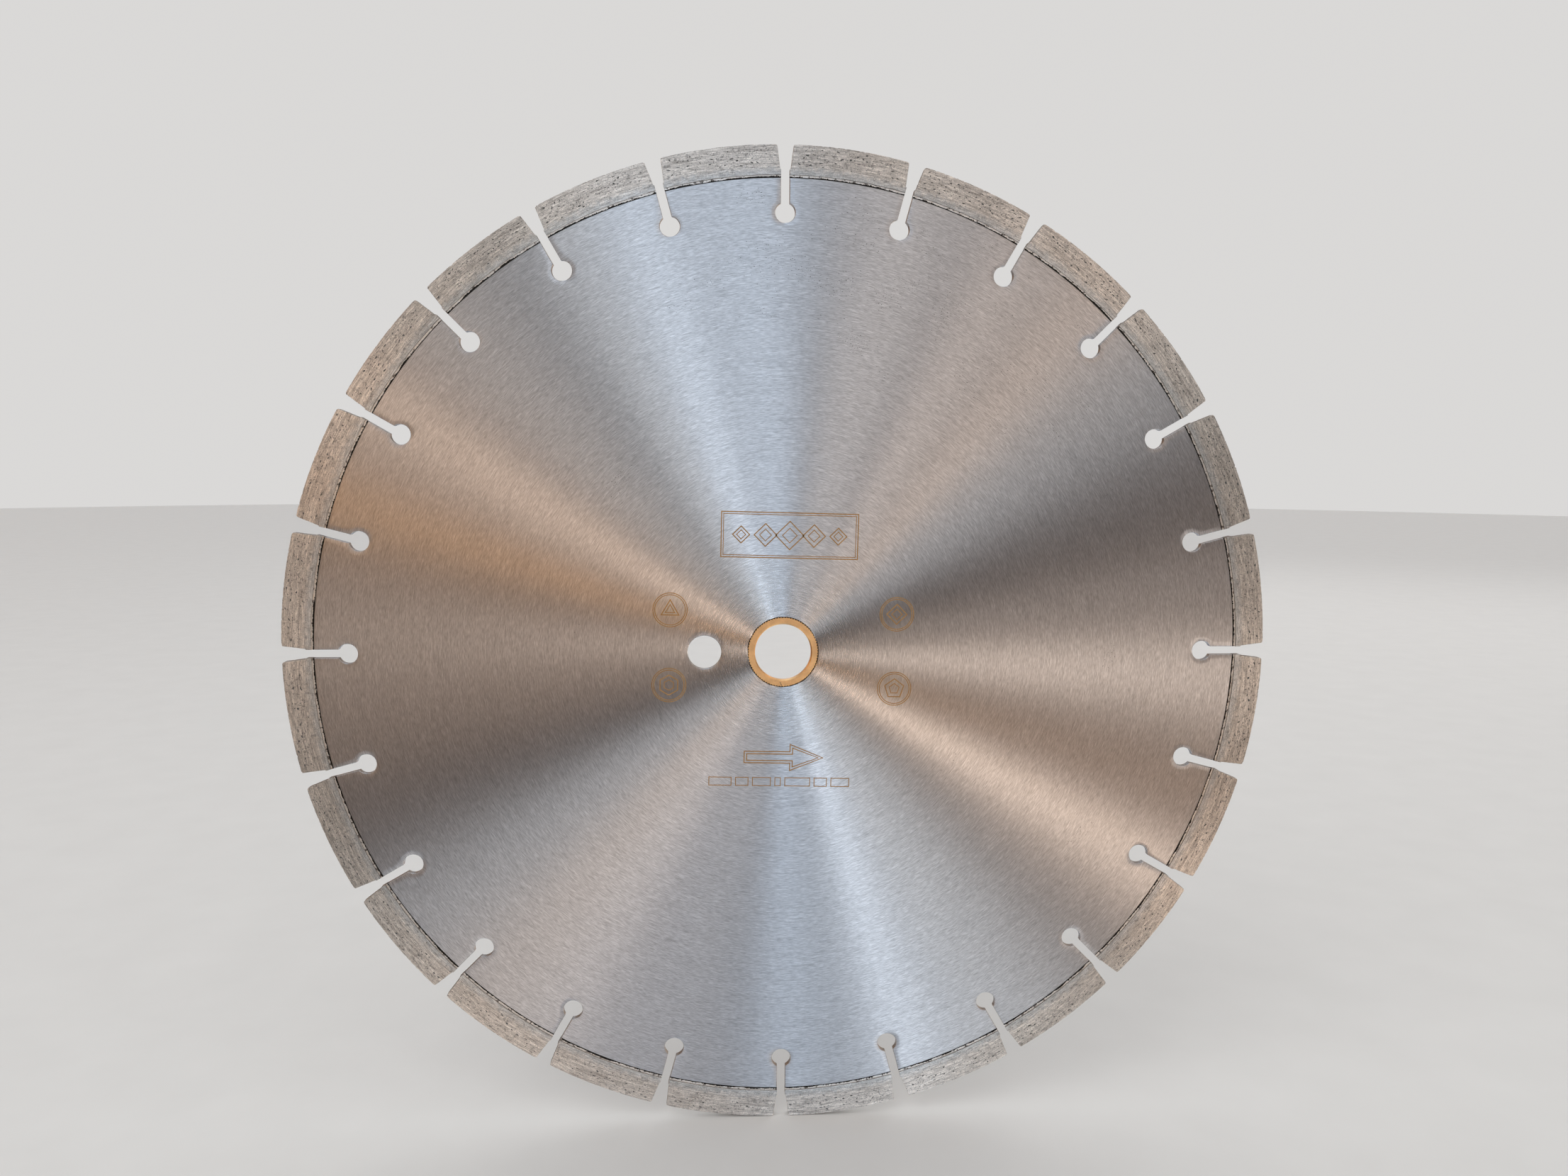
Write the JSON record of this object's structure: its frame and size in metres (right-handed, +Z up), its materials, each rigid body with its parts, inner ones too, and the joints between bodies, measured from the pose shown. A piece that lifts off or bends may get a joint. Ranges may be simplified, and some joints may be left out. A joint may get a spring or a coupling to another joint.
{
  "type": "diamond blade",
  "caption": "Segmented diamond cutting disc: steel core with keyhole gullets, laser-welded rim segments, driving-pin hole and a push-in reducing bush in the bore.",
  "frame": {"origin": "centre of the bore, halfway through the core's thickness", "axes": "+Y along the axis of rotation, away from the marked face; +Z up through a gullet, with the blade standing on its rim; +X to the right as seen from the marked face, away from the driving-pin hole"},
  "size_m": [0.35, 0.0032, 0.35],
  "materials": {
    "core_steel": "face ground in circles about the bore, satin, with fine tangential scratches",
    "segment_bond": "sintered bond ground along its length, dull, with dark pits where grit has come out",
    "weld_metal": "bright rippled laser bead",
    "bush_brass": "turned, satin, with a bright chamfer",
    "laser_mark": "thin copper-brown laser-annealed line on the steel"
  },
  "bodies": {
    "blade": {"core": "core_steel", "weld_seam_01": "weld_metal", "weld_seam_02": "weld_metal", "weld_seam_03": "weld_metal", "weld_seam_04": "weld_metal", "weld_seam_05": "weld_metal", "weld_seam_06": "weld_metal", "weld_seam_07": "weld_metal", "weld_seam_08": "weld_metal", "weld_seam_09": "weld_metal", "weld_seam_10": "weld_metal", "weld_seam_11": "weld_metal", "weld_seam_12": "weld_metal", "weld_seam_13": "weld_metal", "weld_seam_14": "weld_metal", "weld_seam_15": "weld_metal", "weld_seam_16": "weld_metal", "weld_seam_17": "weld_metal", "weld_seam_18": "weld_metal", "weld_seam_19": "weld_metal", "weld_seam_20": "weld_metal", "weld_seam_21": "weld_metal", "weld_seam_22": "weld_metal", "weld_seam_23": "weld_metal", "weld_seam_24": "weld_metal", "segment_01": "segment_bond", "segment_02": "segment_bond", "segment_03": "segment_bond", "segment_04": "segment_bond", "segment_05": "segment_bond", "segment_06": "segment_bond", "segment_07": "segment_bond", "segment_08": "segment_bond", "segment_09": "segment_bond", "segment_10": "segment_bond", "segment_11": "segment_bond", "segment_12": "segment_bond", "segment_13": "segment_bond", "segment_14": "segment_bond", "segment_15": "segment_bond", "segment_16": "segment_bond", "segment_17": "segment_bond", "segment_18": "segment_bond", "segment_19": "segment_bond", "segment_20": "segment_bond", "segment_21": "segment_bond", "segment_22": "segment_bond", "segment_23": "segment_bond", "segment_24": "segment_bond"},
    "bush": {"reducing_bush": "bush_brass"}
  },
  "joints": [
    {"name": "bush_slide", "type": "slide", "parent": "blade", "child": "bush", "axis": [0, 1, 0], "range_m": [-0.01, 0.01]}
  ]
}
